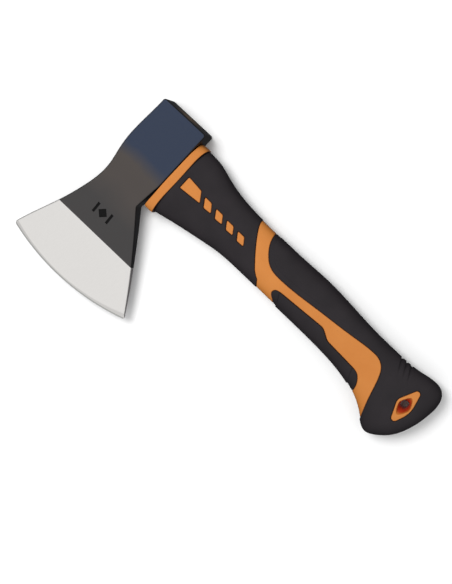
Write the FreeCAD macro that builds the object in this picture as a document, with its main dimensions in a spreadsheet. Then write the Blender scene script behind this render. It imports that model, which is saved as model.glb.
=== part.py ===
import FreeCAD, Part
import math
import os

import Sketcher
from FreeCAD import Placement, Rotation, Vector

# One-hand camping axe lying on its cheek: a forged head on a fibreglass-cored, plastic-jacketed handle
# with three soft rubber overmouldings. Millimetres.
#
# Every sub-part is drawn in the same local frame and then placed by one shared Placement:
#   local X  along the handle, 0 near the top face of the head, + towards the butt
#   local Y  + towards the poll (the hammer face), - towards the cutting edge
#   local Z  through the thickness, 0 on the mid-plane
# The finished part has its origin under the middle of its bounding box, on the surface it lies on.

DRIVING_SIZES = [
    # alias, value, what it is
    ("head_thickness", 22.5, "thickness of the head over its flat cheeks"),
    ("poll_face_y", 37.6, "local Y of the hammer face"),
    ("cheek_flat_end_y", 1.0, "local Y where the flat cheek starts to hollow"),
    ("neck_y", -32.0, "local Y where the hollow meets the straight blade taper"),
    ("neck_half_thickness", 6.3, "half thickness of the blade there"),
    ("grind_line_y", -63.4, "local Y where the forged blade meets the ground bit"),
    ("grind_half_thickness", 3.3, "half thickness of the blade there"),
    ("bit_end_half_thickness", 0.5, "half thickness of the ground bit under the edge bevel"),
    ("edge_centre_x", 22.5, "centre of the cutting edge's arc"),
    ("edge_centre_y", 68.4, "centre of the cutting edge's arc"),
    ("edge_radius", 172.0, "radius of the cutting edge's arc"),
    ("edge_half_thickness", 0.12, "half thickness left at the very edge"),
    ("edge_bevel_angle", 20.0, "half angle of the honed edge bevel, degrees"),
    ("toe_radius", 2.2, "rounding of the toe corner"),
    ("heel_radius", 1.4, "rounding of the heel corner"),
    ("poll_top_radius", 1.8, "rounding of the poll corner on the top side"),
    ("poll_collar_radius", 1.8, "rounding of the poll corner on the collar side"),
    ("throat_radius", 2.5, "rounding of the inside corner under the collar"),
    ("bend_radius", 30.0, "gentle bend of the narrow side under the collar"),
    ("cheek_edge_radius", 1.1, "rounding of the long forged edges"),
    ("mark_depth", 0.4, "depth of the stamped mark"),
    ("eye_length", 31.0, "eye opening along Y"),
    ("eye_width", 15.6, "eye opening along Z"),
    ("eye_centre_y", 4.5, "centre of the eye"),
    ("bond_gap", 1.1, "epoxy thickness round the tenon"),
    ("resin_top_x", 4.4, "top of the epoxy pool in the eye"),
    ("tenon_top_x", 6.0, "end of the tenon under the epoxy pool"),
    ("seal_top_x", 35.5, "where the rubber seal ring starts in the eye"),
    ("seal_end_x", 39.0, "where the rubber seal ring ends"),
    ("core_length", 226.0, "length of the fibreglass core"),
    ("core_height", 20.0, "core section along Y"),
    ("core_width", 9.0, "core section along Z"),
    ("core_corner", 2.5, "corner radius of the core section"),
    ("core_centre_y", 3.5, "centre line of the core"),
    ("handle_end_x", 270.3, "end of the butt"),
    ("rubber_thickness", 1.8, "thickness of the rubber overmouldings"),
    ("jacket_recess", 0.4, "how far the bare plastic lies below the rubber"),
    ("collar_half_thickness", 11.15, "half thickness of the collar"),
    ("groove_depth", 0.8, "depth of the thumb grooves in the rear grip"),
    ("groove_width", 1.3, "width of the thumb grooves"),
    ("throat_half_width", 2.7, "lanyard hole at its narrowest, half size along X"),
    ("throat_half_height", 2.75, "lanyard hole at its narrowest, half size along Y"),
    ("mouth_half_width", 4.9, "mouth of the lanyard hole's funnel, half size along X"),
    ("mouth_half_height", 8.8, "mouth of the lanyard hole's funnel, half size along Y"),
]

# Side of the head away from the handle, from the toe up to the poll.
HEAD_TOP_SIDE = [
    (-22.8, -97.53), (-14.4, -77.4), (-7.6, -62.0), (-1.0, -44.0), (2.6, -30.0),
    (3.5, -20.0), (2.4, -6.0), (1.9, 2.0), (2.6, 17.0), (4.3, 37.6),
]
COLLAR_CORNER = (41.4, 37.6)
COLLAR_SIDE_BEND = (40.0, -8.0)
THROAT_CORNER = (36.5, -29.5)
BEARD_MIDDLE = (59.2, -61.0)
HEEL = (79.9, -93.74)

# The handle's two edges in plan and its half thickness, all against local X.
BACK_EDGE = [
    (36.0, 30.2), (50.0, 30.2), (60.0, 29.3), (68.0, 27.0), (80.0, 23.9), (95.0, 22.0),
    (120.0, 21.2), (145.0, 21.2), (162.0, 21.6), (185.0, 20.4), (209.0, 18.6), (228.0, 18.3),
    (247.0, 19.4), (259.0, 21.1), (265.0, 19.7), (268.8, 15.2), (270.3, 7.5),
]
FRONT_EDGE = [
    (36.0, -26.4), (52.0, -23.0), (66.0, -20.0), (80.0, -17.4), (98.0, -14.6), (114.0, -14.1),
    (150.0, -14.4), (180.0, -14.7), (200.0, -15.8), (215.0, -18.2), (225.0, -21.3),
    (237.5, -28.5), (243.5, -33.0), (248.0, -34.2), (253.7, -31.6), (261.8, -23.8),
    (266.8, -13.5), (269.3, -3.5), (270.3, 7.5),
]
HALF_THICKNESS = [
    (36.0, 10.9), (60.0, 10.6), (85.0, 10.1), (110.0, 10.1), (140.0, 10.7), (165.0, 11.0),
    (195.0, 10.7), (220.0, 10.6), (238.0, 11.0), (248.0, 11.15), (256.0, 10.8), (263.0, 9.2),
    (268.0, 5.9), (270.3, 1.2),
]
SECTION_STATIONS = [
    38.0, 45.0, 50.0, 55.0, 60.0, 65.0, 71.0, 79.0, 89.0, 101.0, 115.0, 132.0, 150.0, 166.0,
    181.0, 195.0, 208.0, 219.0, 228.0, 235.0, 240.0, 244.0, 247.0, 250.0, 253.5, 257.5, 261.5,
    265.0, 267.8, 269.5, 270.2,
]
SECTION_POWER = 2.4
SECTION_POINTS = 16
INSET_PIVOT_X = 150.0

# Colour boundaries on the handle, in plan. Each runs past both edges of the handle.
COLLAR_HEAD_SIDE = [(41.8, 34.0), (41.4, 27.0), (40.9, 12.0), (40.4, -4.0), (40.2, -16.0), (39.2, -28.0)]
COLLAR_BUTT_SIDE = [(48.9, 34.0), (47.6, 28.0), (47.0, 16.0), (46.8, 0.0), (46.3, -12.0), (46.8, -28.0)]
SLEEVE_END = [(103.6, 27.0), (105.4, 19.5), (108.4, 14.3), (116.0, 3.9), (123.6, -5.4)]
SLEEVE_END_STEP = [(126.6, -7.9), (128.6, -9.0), (133.4, -18.0)]
REAR_GRIP_EDGE = [
    (116.8, 27.0), (118.3, 18.1), (120.7, 12.9), (124.0, 8.6), (128.3, 4.8), (133.1, 2.8),
    (139.7, 2.2), (171.0, 4.7), (199.5, 7.7), (215.0, 9.3), (222.3, 8.4), (226.5, 5.4),
    (229.3, 0.5), (233.7, -13.2), (238.4, -27.0), (242.5, -39.0),
]
FRONT_PAD_NOSE = [(148.6, -19.0), (145.4, -12.4), (141.7, -8.0), (142.5, -5.8), (145.6, -4.5), (152.0, -3.9)]
FRONT_PAD_STEP_TOP = (181.9, -1.8)
FRONT_PAD_STEP_FOOT = (189.6, -6.5)
FRONT_PAD_TAIL = [(213.5, -7.6), (217.5, -8.6), (220.4, -11.3), (222.3, -14.8), (223.0, -28.0)]

# Five windows in the upper sleeve: a long one, then four leaning bars.
LONG_WINDOW = [(50.7, 10.5), (63.1, 9.3), (68.0, 2.0), (50.5, 0.6)]
BAR_WINDOWS = [
    [(66.9, 8.2), (73.7, 7.9), (78.0, 2.0), (71.2, 1.5)],
    [(77.5, 7.5), (84.2, 7.3), (88.1, 1.7), (81.6, 1.3)],
    [(87.7, 6.9), (94.5, 6.7), (98.2, 1.2), (91.8, 1.0)],
    [(97.9, 6.5), (104.4, 6.4), (108.3, 0.8), (102.0, 0.6)],
]
WINDOW_CORNER = 0.7

# Lanyard hole: the orange rim's outline and the through-hole's centre.
RIM_CORNERS = [(254.8, 13.9), (247.0, -2.2), (255.0, -17.6), (260.6, -3.5)]
RIM_ROUNDINGS = [1.3, 5.6, 1.6, 19.0]
THROAT_CENTRE = (253.9, -2.6)
THROAT_POWER = 3.0
MOUTH_POWER = 1.35
FUNNEL_START_Z = 5.0

GROOVE_STARTS_X = (229.6, 233.8, 237.8)
GROOVE_RUN = (8.2, -15.5)
GROOVE_START_Y = 21.5

MARK_CENTRE = (21.5, -48.8)
MARK_HALF_SIZE = 3.9
MARK_BAR_GAP = 1.3
MARK_BAR_WIDTH = 1.9

COLLAR_BACK_Y = 30.8
COLLAR_FRONT_Y = -25.6
COLLAR_POWER = 3.6
COLLAR_CROWN = [(37.5, 0.4), (40.5, 0.15), (43.5, 0.0), (46.5, 0.1), (50.5, 0.4)]
COLLAR_SPLIT_X = 44.0
TENON_SHRINK = "2 * Sizes.bond_gap"
THROUGH_ALL = 400.0
PART_MIDDLE_X = 124.05
PART_MIDDLE_Y = -33.0

HOLLOW_LEAD = 0.42      # how long the cheek's hollow runs straight on at each end, as a share of its length
BEVEL_REACH = 8.0       # width of the waste over the honed bevel, more than the bevel itself
PAST_EDGE = 3.0         # how far the waste of the blade runs past the cutting edge
FUNNEL_PAST = 1.0       # how far the lanyard hole's funnel runs past the cheeks
TENON_OVERLAP = 2.0     # how far the tenon runs into the jacket it is moulded with
MOST_INSET = 0.6        # largest share of a section's half size that an inset may take
REACH = 40.0            # half height of the prisms that cut right through the handle
SIDE_REACH = 60.0       # how far plan regions run past the handle
TOUCH = 0.1             # two planes closer than this count as one
NEAR = 0.5              # a corner closer than this to a plan point is that point's corner
BISECTIONS = 60


def make_sheet(doc):
    """Spreadsheet of the driving dimensions: name in column A, value in B, meaning in C."""
    sheet = doc.addObject("Spreadsheet::Sheet", "Sizes")
    for row, (alias, value, meaning) in enumerate(DRIVING_SIZES, start=1):
        sheet.set(f"A{row}", alias)
        sheet.set(f"B{row}", str(value))
        sheet.set(f"C{row}", meaning)
        sheet.setAlias(f"B{row}", alias)
    doc.recompute()
    return sheet


def origin_plane(body, role):
    for feature in body.Origin.OriginFeatures:
        if feature.Role == role:
            return feature
    raise ValueError(role)


def new_sketch(body, name, role, offset=None):
    sketch = body.newObject("Sketcher::SketchObject", name)
    sketch.AttachmentSupport = [(origin_plane(body, role), "")]
    sketch.MapMode = "FlatFace"
    if offset is not None:
        sketch.AttachmentOffset = offset
    return sketch


def flat(point, z=0.0):
    return Vector(point[0], point[1], z)


def spline_through(points, z=0.0):
    curve = Part.BSplineCurve()
    curve.interpolate([flat(point, z) for point in points])
    return curve


def add_chain(sketch, corners):
    """Closed chain of straight lines through the corners."""
    for start, end in zip(corners, corners[1:] + corners[:1]):
        sketch.addGeometry(Part.LineSegment(flat(start), flat(end)))


def symmetric_feature(body, kind, name, profile, length):
    feature = body.newObject(kind, name)
    feature.Profile = profile
    feature.SideType = "Symmetric"
    feature.Length = length
    return feature


def edges_at(shape, plan_points):
    """Names of the straight edges along Z that stand over the plan points."""
    names = []
    for index, edge in enumerate(shape.Edges, start=1):
        ends = [vertex.Point for vertex in edge.Vertexes]
        if len(ends) != 2 or abs(ends[0].z - ends[1].z) < NEAR:
            continue
        for point in plan_points:
            if all(math.hypot(end.x - point[0], end.y - point[1]) < NEAR for end in ends):
                names.append(f"Edge{index}")
    return names


def round_corners(body, doc, name, plan_points, alias):
    doc.recompute()
    base = body.Tip
    fillet = body.newObject("PartDesign::Fillet", name)
    fillet.Base = (base, edges_at(base.Shape, plan_points))
    fillet.setExpression("Radius", f"Sizes.{alias}")
    doc.recompute()


# ---------------------------------------------------------------- the forged head

def draw_head_outline(body, sheet):
    """Side view of the head as forged, closed by the arc of the cutting edge."""
    sketch = new_sketch(body, "head_outline", "XY_Plane")
    edge_bottom = (sheet.edge_centre_x, sheet.edge_centre_y - sheet.edge_radius)
    sketch.addGeometry(spline_through(HEAD_TOP_SIDE))
    sketch.addGeometry(Part.LineSegment(flat(HEAD_TOP_SIDE[-1]), flat(COLLAR_CORNER)))
    sketch.addGeometry(Part.LineSegment(flat(COLLAR_CORNER), flat(COLLAR_SIDE_BEND)))
    sketch.addGeometry(Part.LineSegment(flat(COLLAR_SIDE_BEND), flat(THROAT_CORNER)))
    sketch.addGeometry(Part.Arc(flat(THROAT_CORNER), flat(BEARD_MIDDLE), flat(HEEL)))
    sketch.addGeometry(Part.Arc(flat(HEEL), flat(edge_bottom), flat(HEAD_TOP_SIDE[0])))
    return sketch


def draw_cheek_waste(body, sheet):
    """Waste above the blade, in the Y-Z plane: hollow, straight taper, ground bit."""
    sketch = new_sketch(body, "cheek_waste", "YZ_Plane")
    top = sheet.head_thickness
    beyond_edge_y = sheet.edge_centre_y - sheet.edge_radius - PAST_EDGE
    taper = (sheet.neck_half_thickness - sheet.grind_half_thickness) / (sheet.neck_y - sheet.grind_line_y)
    hollow_length = sheet.cheek_flat_end_y - sheet.neck_y
    bit_end = (beyond_edge_y, sheet.bit_end_half_thickness)
    grind = (sheet.grind_line_y, sheet.grind_half_thickness)
    neck = (sheet.neck_y, sheet.neck_half_thickness)
    flat_end = (sheet.cheek_flat_end_y, sheet.head_thickness / 2)
    lead = hollow_length * HOLLOW_LEAD
    hollow = Part.BezierCurve()
    hollow.setPoles([
        flat(neck),
        flat((neck[0] + lead, neck[1] + lead * taper)),
        flat((flat_end[0] - lead, flat_end[1])),
        flat(flat_end),
    ])
    above_cheek = (flat_end[0], top)
    above_bit = (bit_end[0], top)
    sketch.addGeometry(Part.LineSegment(flat(bit_end), flat(grind)))
    sketch.addGeometry(Part.LineSegment(flat(grind), flat(neck)))
    sketch.addGeometry(hollow.toBSpline())
    sketch.addGeometry(Part.LineSegment(flat(flat_end), flat(above_cheek)))
    sketch.addGeometry(Part.LineSegment(flat(above_cheek), flat(above_bit)))
    sketch.addGeometry(Part.LineSegment(flat(above_bit), flat(bit_end)))
    return sketch


def draw_edge_bevel_waste(body, sheet):
    """Waste outside the honed bevel, to be turned about the centre of the edge's arc."""
    place = Placement(Vector(sheet.edge_centre_x, 0, -sheet.edge_centre_y), Rotation())
    sketch = new_sketch(body, "edge_bevel_waste", "XZ_Plane", place)
    rise = BEVEL_REACH * math.tan(math.radians(sheet.edge_bevel_angle))
    inner = sheet.edge_radius - BEVEL_REACH
    outer = sheet.edge_radius + PAST_EDGE
    add_chain(sketch, [
        (inner, sheet.edge_half_thickness + rise),
        (sheet.edge_radius, sheet.edge_half_thickness),
        (outer, sheet.edge_half_thickness),
        (outer, sheet.head_thickness),
        (inner, sheet.head_thickness),
    ])
    return sketch


def add_slot(sketch, length_rule, width_rule, prefix):
    """Obround centred on the sketch's origin; its length and width follow sheet expressions.

    It is drawn at any size first, and the constraints then give it the real one.
    """
    first = sketch.GeometryCount
    radius = 4.0
    near = Vector(-radius, 0, 0)
    far = Vector(radius, 0, 0)
    up = Vector(0, radius, 0)
    axis = Vector(0, 0, 1)
    sketch.addGeometry([
        Part.LineSegment(near + up, far + up),
        Part.LineSegment(near - up, far - up),
        Part.ArcOfCircle(Part.Circle(near, axis, radius), math.pi / 2, 3 * math.pi / 2),
        Part.ArcOfCircle(Part.Circle(far, axis, radius), -math.pi / 2, math.pi / 2),
    ])
    top, bottom, near_arc, far_arc = range(first, first + 4)
    sketch.addConstraint([
        Sketcher.Constraint("Tangent", top, 1, near_arc, 1),
        Sketcher.Constraint("Tangent", bottom, 1, near_arc, 2),
        Sketcher.Constraint("Tangent", top, 2, far_arc, 2),
        Sketcher.Constraint("Tangent", bottom, 2, far_arc, 1),
        Sketcher.Constraint("Symmetric", near_arc, 3, far_arc, 3, -1, 1),
        Sketcher.Constraint("Horizontal", top),
        Sketcher.Constraint("Equal", near_arc, far_arc),
    ])
    rules = {
        f"{prefix}_radius": (Sketcher.Constraint("Radius", near_arc, radius), f"({width_rule}) / 2"),
        f"{prefix}_straight": (
            Sketcher.Constraint("DistanceX", near_arc, 3, far_arc, 3, 2 * radius),
            f"({length_rule}) - ({width_rule})",
        ),
    }
    for name, (constraint, rule) in rules.items():
        sketch.renameConstraint(sketch.addConstraint(constraint), name)
        sketch.setExpression(f"Constraints.{name}", rule)


def new_eye_sketch(body, name, start_rule):
    """Sketch across the handle's axis, centred on the eye and starting at a station along X."""
    sketch = new_sketch(body, name, "YZ_Plane")
    sketch.setExpression("AttachmentOffset.Base.x", "Sizes.eye_centre_y")
    sketch.setExpression("AttachmentOffset.Base.z", start_rule)
    return sketch


def pad_along_handle(body, name, sketch, length_rule):
    pad = body.newObject("PartDesign::Pad", name)
    pad.Profile = sketch
    pad.setExpression("Length", length_rule)
    return pad


def make_mark_space(doc, sheet):
    """A plain stamped lozenge between two short bars, sunk square to the blade's taper."""
    body = doc.addObject("PartDesign::Body", "mark_space")
    slope = math.atan2(
        sheet.neck_half_thickness - sheet.grind_half_thickness, sheet.neck_y - sheet.grind_line_y)
    surface_z = sheet.grind_half_thickness + (MARK_CENTRE[1] - sheet.grind_line_y) * math.tan(slope)
    place = Placement(
        Vector(MARK_CENTRE[0], MARK_CENTRE[1], surface_z - sheet.mark_depth),
        Rotation(Vector(1, 0, 0), math.degrees(slope)))
    sketch = new_sketch(body, "mark_outline", "XY_Plane", place)
    half = MARK_HALF_SIZE
    add_chain(sketch, [(-half, 0), (0, -half), (half, 0), (0, half)])
    for side in (-1.0, 1.0):
        near = side * (half + MARK_BAR_GAP)
        far = near + side * MARK_BAR_WIDTH
        add_chain(sketch, [(near, -half), (far, -half), (far, half), (near, half)])
    pad = body.newObject("PartDesign::Pad", "mark")
    pad.Profile = sketch
    pad.setExpression("Length", "2 * Sizes.mark_depth")
    return body


def make_eye_space(doc):
    """The eye, an obround hole right through the head along the handle's axis."""
    body = doc.addObject("PartDesign::Body", "eye_space")
    sketch = new_eye_sketch(body, "eye_outline", "0")
    add_slot(sketch, "Sizes.eye_length", "Sizes.eye_width", "eye")
    symmetric_feature(body, "PartDesign::Pad", "eye", sketch, THROUGH_ALL)
    return body


def soften_cheek_edges(body, sheet):
    """Rounds the long edges between the forged cheek and the head's narrow sides."""
    base = body.Tip
    names = []
    for index, edge in enumerate(base.Shape.Edges, start=1):
        middle = edge.valueAt((edge.FirstParameter + edge.LastParameter) / 2)
        box = edge.BoundBox
        on_mid_plane = box.ZMin < TOUCH
        in_forging = box.YMin > sheet.grind_line_y - TOUCH
        across_blade = box.YLength < TOUCH and middle.y < sheet.poll_face_y - TOUCH
        if in_forging and not on_mid_plane and not across_blade:
            names.append(f"Edge{index}")
    fillet = body.newObject("PartDesign::Fillet", "softened_edges")
    fillet.Base = (base, names)
    fillet.setExpression("Radius", "Sizes.cheek_edge_radius")


def make_head_half(doc, sheet):
    """Upper half of the forging: blank, hollowed cheek, softened edges, honed bevel."""
    body = doc.addObject("PartDesign::Body", "head_half")
    blank = body.newObject("PartDesign::Pad", "blank")
    blank.Profile = draw_head_outline(body, sheet)
    blank.setExpression("Length", "Sizes.head_thickness / 2")
    round_corners(body, doc, "toe_corner", [HEAD_TOP_SIDE[0]], "toe_radius")
    round_corners(body, doc, "heel_corner", [HEEL], "heel_radius")
    round_corners(body, doc, "poll_top_corner", [HEAD_TOP_SIDE[-1]], "poll_top_radius")
    round_corners(body, doc, "poll_collar_corner", [COLLAR_CORNER], "poll_collar_radius")
    round_corners(body, doc, "throat_corner", [THROAT_CORNER], "throat_radius")
    round_corners(body, doc, "collar_side_bend", [COLLAR_SIDE_BEND], "bend_radius")
    symmetric_feature(body, "PartDesign::Pocket", "cheek_hollow", draw_cheek_waste(body, sheet), THROUGH_ALL)
    doc.recompute()
    soften_cheek_edges(body, sheet)
    doc.recompute()
    bevel_sketch = draw_edge_bevel_waste(body, sheet)
    bevel = body.newObject("PartDesign::Groove", "edge_bevel")
    bevel.Profile = bevel_sketch
    bevel.ReferenceAxis = (bevel_sketch, ["V_Axis"])
    bevel.Angle = 360
    doc.recompute()
    return body


def cut_from(doc, name, base, tool):
    cut = doc.addObject("Part::Cut", name)
    cut.Base = base
    cut.Tool = tool
    return cut


def make_head(doc, sheet):
    """Forged head: the upper half and its mirror image, less the eye and the stamped mark."""
    half = make_head_half(doc, sheet)
    mirror = doc.addObject("Part::Mirroring", "head_mirror")
    mirror.Source = half
    mirror.Normal = Vector(0, 0, 1)
    forging = doc.addObject("Part::Fuse", "forging")
    forging.Base = half
    forging.Tool = mirror
    forging.Refine = True
    drilled = cut_from(doc, "forging_with_eye", forging, make_eye_space(doc))
    return cut_from(doc, "axe_head", drilled, make_mark_space(doc, sheet))


# ---------------------------------------------------------------- inside the eye and the handle

def make_core(doc):
    """Pultruded fibreglass bar, from the top of the tenon to short of the lanyard hole.

    The rectangle is drawn at any size first, and the constraints then give it the real one.
    """
    body = doc.addObject("PartDesign::Body", "fibreglass_core")
    sketch = new_sketch(body, "core_section", "YZ_Plane")
    sketch.setExpression("AttachmentOffset.Base.x", "Sizes.core_centre_y")
    sketch.setExpression("AttachmentOffset.Base.z", "Sizes.tenon_top_x")
    add_chain(sketch, [(-4, -2), (4, -2), (4, 2), (-4, 2)])
    bottom, right, top, left = range(4)
    sketch.addConstraint([
        Sketcher.Constraint("Coincident", bottom, 2, right, 1),
        Sketcher.Constraint("Coincident", right, 2, top, 1),
        Sketcher.Constraint("Coincident", top, 2, left, 1),
        Sketcher.Constraint("Coincident", left, 2, bottom, 1),
        Sketcher.Constraint("Horizontal", bottom),
        Sketcher.Constraint("Horizontal", top),
        Sketcher.Constraint("Vertical", right),
        Sketcher.Constraint("Vertical", left),
        Sketcher.Constraint("Symmetric", bottom, 1, top, 1, -1, 1),
    ])
    for name, line, rule in (("height", bottom, "core_height"), ("width", right, "core_width")):
        kind = "DistanceX" if line == bottom else "DistanceY"
        index = sketch.addConstraint(Sketcher.Constraint(kind, line, 1, line, 2, 5.0))
        sketch.renameConstraint(index, name)
        sketch.setExpression(f"Constraints.{name}", f"Sizes.{rule}")
    pad = pad_along_handle(body, "bar", sketch, "Sizes.core_length")
    doc.recompute()
    long_edges = [
        f"Edge{index}" for index, edge in enumerate(pad.Shape.Edges, start=1) if edge.BoundBox.XLength > REACH
    ]
    fillet = body.newObject("PartDesign::Fillet", "bar_corners")
    fillet.Base = (pad, long_edges)
    fillet.setExpression("Radius", "Sizes.core_corner")
    return body


def make_resin(doc):
    """Epoxy cast round the tenon, with a shallow pool over its end."""
    body = doc.addObject("PartDesign::Body", "eye_resin")
    pool = new_eye_sketch(body, "pool_outline", "Sizes.resin_top_x")
    add_slot(pool, "Sizes.eye_length", "Sizes.eye_width", "eye")
    pad_along_handle(body, "pool", pool, "Sizes.tenon_top_x - Sizes.resin_top_x")
    doc.recompute()
    ring = new_eye_sketch(body, "ring_outline", "Sizes.tenon_top_x")
    add_slot(ring, "Sizes.eye_length", "Sizes.eye_width", "eye")
    add_slot(ring, f"Sizes.eye_length - {TENON_SHRINK}", f"Sizes.eye_width - {TENON_SHRINK}", "tenon")
    pad_along_handle(body, "ring", ring, "Sizes.seal_top_x - Sizes.tenon_top_x")
    return body


def make_seal(doc):
    """Rubber ring that closes the eye's lower mouth while the epoxy is cast."""
    body = doc.addObject("PartDesign::Body", "eye_seal")
    ring = new_eye_sketch(body, "seal_outline", "Sizes.seal_top_x")
    add_slot(ring, "Sizes.eye_length", "Sizes.eye_width", "eye")
    add_slot(ring, f"Sizes.eye_length - {TENON_SHRINK}", f"Sizes.eye_width - {TENON_SHRINK}", "tenon")
    pad_along_handle(body, "seal", ring, "Sizes.seal_end_x - Sizes.seal_top_x")
    return body


# ---------------------------------------------------------------- the moulded handle

def height_at(curve, x):
    """Y of a plan curve at x, for a curve whose x only grows."""
    low, high = curve.FirstParameter, curve.LastParameter
    for _ in range(BISECTIONS):
        middle = (low + high) / 2
        if curve.value(middle).x < x:
            low = middle
        else:
            high = middle
    return curve.value((low + high) / 2).y


def superellipse(half_a, half_b, power, count):
    """Points round a superellipse as (a, b) pairs."""
    points = []
    for step in range(count):
        angle = 2 * math.pi * (step + 0.5) / count
        cosine, sine = math.cos(angle), math.sin(angle)
        points.append((
            half_a * math.copysign(abs(cosine) ** (2 / power), cosine),
            half_b * math.copysign(abs(sine) ** (2 / power), sine),
        ))
    return points


def closed_spline(points):
    """Closed smooth wire; evenly spaced parameters keep the lofts between such wires light."""
    curve = Part.BSplineCurve()
    even = [step / len(points) for step in range(len(points) + 1)]
    curve.interpolate(Points=points, PeriodicFlag=True, Parameters=even)
    return Part.Wire(curve.toShape())


def handle_solid(sheet, inset):
    """The whole grip as one smooth solid, its surface moved in by inset."""
    back = spline_through(BACK_EDGE)
    front = spline_through(FRONT_EDGE)
    half = spline_through(HALF_THICKNESS)
    wires = []
    for station in SECTION_STATIONS:
        top = height_at(back, station)
        bottom = height_at(front, station)
        half_height = (top - bottom) / 2
        half_thickness = height_at(half, station)
        shrink = min(inset, MOST_INSET * half_height, MOST_INSET * half_thickness)
        x = station
        if station > INSET_PIVOT_X:
            x -= inset * (station - INSET_PIVOT_X) / (sheet.handle_end_x - INSET_PIVOT_X)
        middle = (top + bottom) / 2
        ring = superellipse(half_height - shrink, half_thickness - shrink, SECTION_POWER, SECTION_POINTS)
        wires.append(closed_spline([Vector(x, middle + y, z) for y, z in ring]))
    return Part.makeLoft(wires, True, False)


def prism(edges):
    """Solid standing through the whole handle on a closed plan outline."""
    wire = Part.Wire(Part.__sortEdges__(edges))
    face = Part.Face(wire)
    face.translate(Vector(0, 0, -REACH))
    return face.extrude(Vector(0, 0, 2 * REACH))


def line_chain(points):
    return [Part.LineSegment(flat(a), flat(b)).toShape() for a, b in zip(points, points[1:])]


def sleeve_region():
    collar_side = spline_through(COLLAR_BUTT_SIDE).toShape()
    diagonal = spline_through(SLEEVE_END).toShape()
    above = line_chain([COLLAR_BUTT_SIDE[0], SLEEVE_END[0]])
    below = line_chain([SLEEVE_END[-1]] + SLEEVE_END_STEP + [COLLAR_BUTT_SIDE[-1]])
    return prism([collar_side, diagonal] + above + below)


def rear_region():
    edge = spline_through(REAR_GRIP_EDGE).toShape()
    far_x = SECTION_STATIONS[-1] + SIDE_REACH
    low_y = REAR_GRIP_EDGE[-1][1]
    high_y = REAR_GRIP_EDGE[0][1] + SIDE_REACH / 4
    corners = [REAR_GRIP_EDGE[-1], (far_x, low_y), (far_x, high_y),
               (REAR_GRIP_EDGE[0][0], high_y), REAR_GRIP_EDGE[0]]
    return prism([edge] + line_chain(corners))


def front_region():
    nose = spline_through(FRONT_PAD_NOSE).toShape()
    tail = spline_through(FRONT_PAD_TAIL).toShape()
    step = line_chain([FRONT_PAD_NOSE[-1], FRONT_PAD_STEP_TOP, FRONT_PAD_STEP_FOOT, FRONT_PAD_TAIL[0]])
    low_y = FRONT_PAD_TAIL[-1][1]
    below = line_chain([FRONT_PAD_TAIL[-1], (FRONT_PAD_NOSE[0][0], low_y), FRONT_PAD_NOSE[0]])
    return prism([nose, tail] + step + below)


def window_prisms():
    prisms = []
    for corners in [LONG_WINDOW] + BAR_WINDOWS:
        prisms.append(rounded_prism(corners, [WINDOW_CORNER] * len(corners)))
    return Part.makeCompound(prisms)


def rounded_prism(corners, roundings):
    """Prism on a polygon, each of its corners rounded by its own radius."""
    block = prism(line_chain(corners + corners[:1]))
    for corner, radius in zip(corners, roundings):
        for edge in block.Edges:
            foot = edge.valueAt(edge.FirstParameter)
            if edge.BoundBox.ZLength > REACH and math.hypot(foot.x - corner[0], foot.y - corner[1]) < NEAR:
                block = block.makeFillet(radius, [edge])
                break
    return block


def hole_outline(half_width, half_height, power, z):
    """Closed outline round the lanyard hole's centre, at height z."""
    ring = superellipse(half_width, half_height, power, SECTION_POINTS)
    return closed_spline([flat((THROAT_CENTRE[0] + x, THROAT_CENTRE[1] + y), z) for x, y in ring])


def lanyard_hole(sheet):
    """Straight throat through the butt, opening into a lozenge-shaped funnel at both cheeks."""
    throat = (sheet.throat_half_width, sheet.throat_half_height, THROAT_POWER)
    mouth = (sheet.mouth_half_width, sheet.mouth_half_height, MOUTH_POWER)
    outer_z = sheet.head_thickness / 2 + FUNNEL_PAST
    hole = prism(hole_outline(*throat, 0.0).Edges)
    for side in (-1.0, 1.0):
        inner = hole_outline(*throat, side * FUNNEL_START_Z)
        outer = hole_outline(*mouth, side * outer_z)
        hole = hole.fuse(Part.makeLoft([inner, outer], True, True))
    return hole


def thumb_grooves(sheet):
    """Slanting grooves across the back edge, only as deep as the solid they leave outside."""
    strips = []
    run_x, run_y = GROOVE_RUN
    for start_x in GROOVE_STARTS_X:
        near = (start_x, GROOVE_START_Y)
        far = (start_x + run_x, GROOVE_START_Y + run_y)
        wide_near = (near[0] + sheet.groove_width, near[1])
        wide_far = (far[0] + sheet.groove_width, far[1])
        strips.append(prism(line_chain([near, wide_near, wide_far, far, near])))
    return Part.makeCompound(strips).cut(handle_solid(sheet, sheet.groove_depth))


def collar_solid(sheet):
    """Plastic collar against the head's underside: a flat oval ring with a crowned band."""
    head_side = spline_through(COLLAR_HEAD_SIDE).toShape()
    butt_side = spline_through(COLLAR_BUTT_SIDE).toShape()
    above = line_chain([COLLAR_HEAD_SIDE[0], COLLAR_BUTT_SIDE[0]])
    below = line_chain([COLLAR_HEAD_SIDE[-1], COLLAR_BUTT_SIDE[-1]])
    slab = prism([head_side, butt_side] + above + below)
    middle = (COLLAR_BACK_Y + COLLAR_FRONT_Y) / 2
    half_height = (COLLAR_BACK_Y - COLLAR_FRONT_Y) / 2
    rings = []
    for x, drop in COLLAR_CROWN:
        oval = superellipse(
            half_height - drop, sheet.collar_half_thickness - drop, COLLAR_POWER, SECTION_POINTS)
        rings.append(closed_spline([Vector(x, middle + y, z) for y, z in oval]))
    return Part.makeLoft(rings, True, False).common(slab)


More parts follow.
